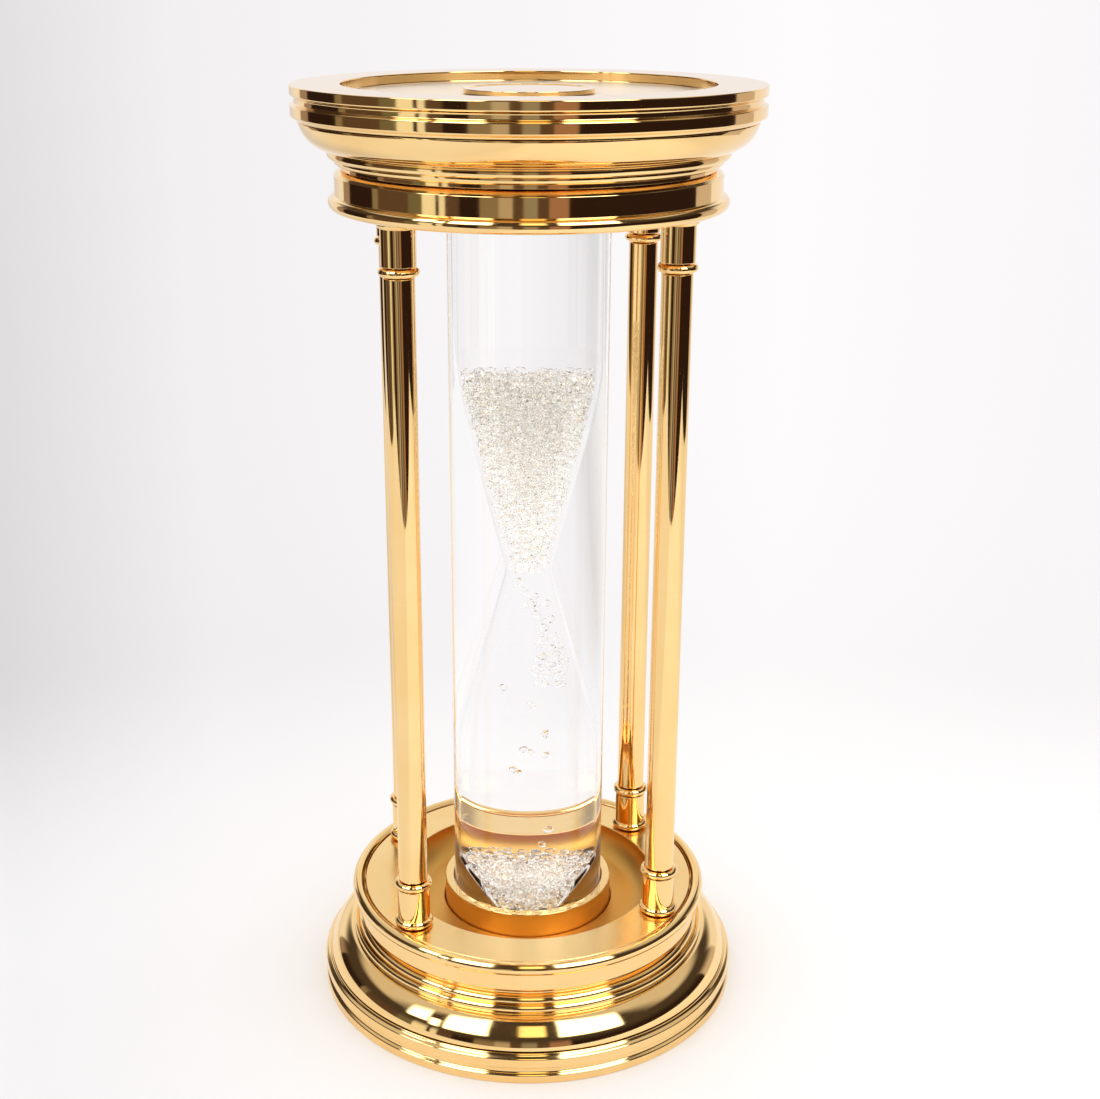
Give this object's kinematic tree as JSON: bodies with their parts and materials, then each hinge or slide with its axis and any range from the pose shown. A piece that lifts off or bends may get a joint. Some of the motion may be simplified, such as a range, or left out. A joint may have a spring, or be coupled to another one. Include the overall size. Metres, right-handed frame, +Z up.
{
  "type": "hourglass",
  "caption": "Reversible hourglass: turned gold-plated caps joined by slim columns round a thick clear glass cylinder, with clear crystals falling through liquid in its waisted cavity.",
  "frame": {"origin": "centre of the end face that the hourglass stands on", "axes": "+Z up along the turned axis; the rectangle of columns has its long side along X, and -Y is the front"},
  "size_m": [0.1128, 0.1128, 0.24],
  "materials": {
    "gold_plated_brass": "mirror-polished gold plate",
    "clear_glass": "polished, clear",
    "crystal": "rough clear crystal grains",
    "steel": "plain",
    "seal_rubber": "matte",
    "clear_plastic": "clear, smooth"
  },
  "bodies": {
    "frame": {"lower_end_plate": "gold_plated_brass", "lower_moulding": "gold_plated_brass", "lower_drum": "gold_plated_brass", "lower_deck": "gold_plated_brass", "lower_glass_collar": "gold_plated_brass", "lower_glass_seat": "gold_plated_brass", "lower_medallion": "gold_plated_brass", "upper_end_plate": "gold_plated_brass", "upper_moulding": "gold_plated_brass", "upper_drum": "gold_plated_brass", "upper_deck": "gold_plated_brass", "upper_glass_collar": "gold_plated_brass", "upper_glass_seat": "gold_plated_brass", "upper_medallion": "gold_plated_brass", "front_left_shaft": "gold_plated_brass", "front_left_lower_ferrule": "gold_plated_brass", "front_left_lower_ring": "gold_plated_brass", "front_left_upper_ferrule": "gold_plated_brass", "front_left_upper_ring": "gold_plated_brass", "front_right_shaft": "gold_plated_brass", "front_right_lower_ferrule": "gold_plated_brass", "front_right_lower_ring": "gold_plated_brass", "front_right_upper_ferrule": "gold_plated_brass", "front_right_upper_ring": "gold_plated_brass", "back_left_shaft": "gold_plated_brass", "back_left_lower_ferrule": "gold_plated_brass", "back_left_lower_ring": "gold_plated_brass", "back_left_upper_ferrule": "gold_plated_brass", "back_left_upper_ring": "gold_plated_brass", "back_right_shaft": "gold_plated_brass", "back_right_lower_ferrule": "gold_plated_brass", "back_right_lower_ring": "gold_plated_brass", "back_right_upper_ferrule": "gold_plated_brass", "back_right_upper_ring": "gold_plated_brass", "lower_centre_bolt": "steel", "upper_centre_bolt": "steel", "front_left_lower_screw": "steel", "front_left_upper_screw": "steel", "front_right_lower_screw": "steel", "front_right_upper_screw": "steel", "back_left_lower_screw": "steel", "back_left_upper_screw": "steel", "back_right_lower_screw": "steel", "back_right_upper_screw": "steel", "lower_gasket": "seal_rubber", "upper_gasket": "seal_rubber", "lower_cavity_plug": "clear_plastic", "upper_cavity_plug": "clear_plastic", "glass_body": "clear_glass", "upper_crystal_charge": "crystal", "lower_crystal_heap": "crystal"},
    "falling_crystal_1": {"falling_crystal_1": "crystal"},
    "falling_crystal_2": {"falling_crystal_2": "crystal"},
    "falling_crystal_3": {"falling_crystal_3": "crystal"},
    "falling_crystal_4": {"falling_crystal_4": "crystal"},
    "falling_crystal_5": {"falling_crystal_5": "crystal"},
    "falling_crystal_6": {"falling_crystal_6": "crystal"}
  },
  "joints": [
    {"name": "crystal_1_fall", "type": "slide", "parent": "frame", "child": "falling_crystal_1", "axis": [0, 0, -1], "range_m": [-0.0195, 0.05]},
    {"name": "crystal_2_fall", "type": "slide", "parent": "frame", "child": "falling_crystal_2", "axis": [0, 0, -1], "range_m": [-0.033, 0.0455]},
    {"name": "crystal_3_fall", "type": "slide", "parent": "frame", "child": "falling_crystal_3", "axis": [0, 0, -1], "range_m": [-0.04, 0.0365]},
    {"name": "crystal_4_fall", "type": "slide", "parent": "frame", "child": "falling_crystal_4", "axis": [0, 0, -1], "range_m": [-0.04, 0.0265]},
    {"name": "crystal_5_fall", "type": "slide", "parent": "frame", "child": "falling_crystal_5", "axis": [0, 0, -1], "range_m": [-0.054, 0.0092]},
    {"name": "crystal_6_fall", "type": "slide", "parent": "frame", "child": "falling_crystal_6", "axis": [0, 0, -1], "range_m": [-0.046, 0.0059]}
  ]
}
